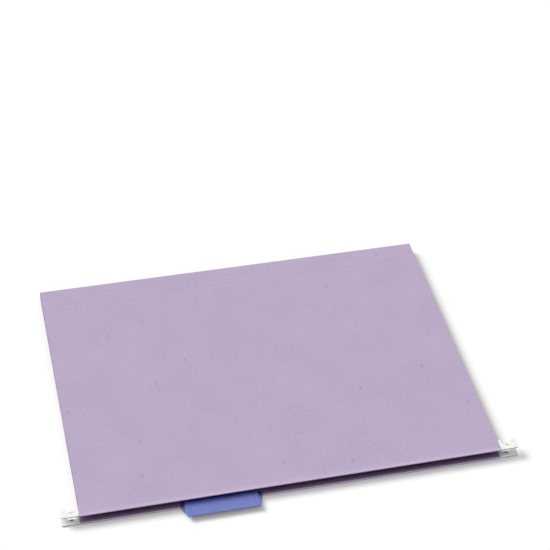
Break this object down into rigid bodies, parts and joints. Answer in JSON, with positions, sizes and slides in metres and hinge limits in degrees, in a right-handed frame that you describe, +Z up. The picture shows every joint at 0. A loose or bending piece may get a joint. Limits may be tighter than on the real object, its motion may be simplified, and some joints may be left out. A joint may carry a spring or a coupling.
{
  "type": "hanging file folder",
  "caption": "Folded-board hanging file folder with a hooked steel rail in each hemmed edge, white plastic hook tips and a clear-fronted vinyl index tab.",
  "frame": {"origin": "middle of the back panel's underside, the face the folder lies on", "axes": "+X along the mouth edge, +Y from the mouth to the base strip, +Z up from the back panel to the front panel"},
  "size_m": [0.3244, 0.2473, 0.009],
  "materials": {
    "board": "matte",
    "steel": "satin",
    "white_coat": "satin",
    "glue": "satin",
    "vinyl": "gloss",
    "slip": "matte"
  },
  "bodies": {
    "back": {"back_panel": "board", "back_rail": "steel", "back_left_tip": "white_coat", "back_right_tip": "white_coat", "back_glue": "glue", "tab_anchor": "vinyl"},
    "base": {"base_strip": "board"},
    "front": {"front_panel": "board", "front_rail": "steel", "front_left_tip": "white_coat", "front_right_tip": "white_coat", "front_glue": "glue"},
    "tab": {"tab_sleeve": "vinyl"},
    "insert": {"tab_insert": "slip"}
  },
  "joints": [
    {"name": "base_fold", "type": "hinge", "parent": "back", "child": "base", "pos_m": [0, 0.11736, 0.00014], "axis": [-1, 0, 0], "range_deg": [0, 90]},
    {"name": "front_fold", "type": "hinge", "parent": "base", "child": "front", "pos_m": [0, 0.11736, 0.00886], "axis": [-1, 0, 0], "range_deg": [0, 90]},
    {"name": "tab_flex", "type": "hinge", "parent": "back", "child": "tab", "pos_m": [-0.052, -0.1125, 0.00139], "axis": [-1, 0, 0], "range_deg": [-8, 27], "stiffness_Nm_per_rad": 0.015},
    {"name": "insert_slide", "type": "slide", "parent": "tab", "child": "insert", "axis": [1, 0, 0], "range_m": [-0.05, 0.05]}
  ]
}
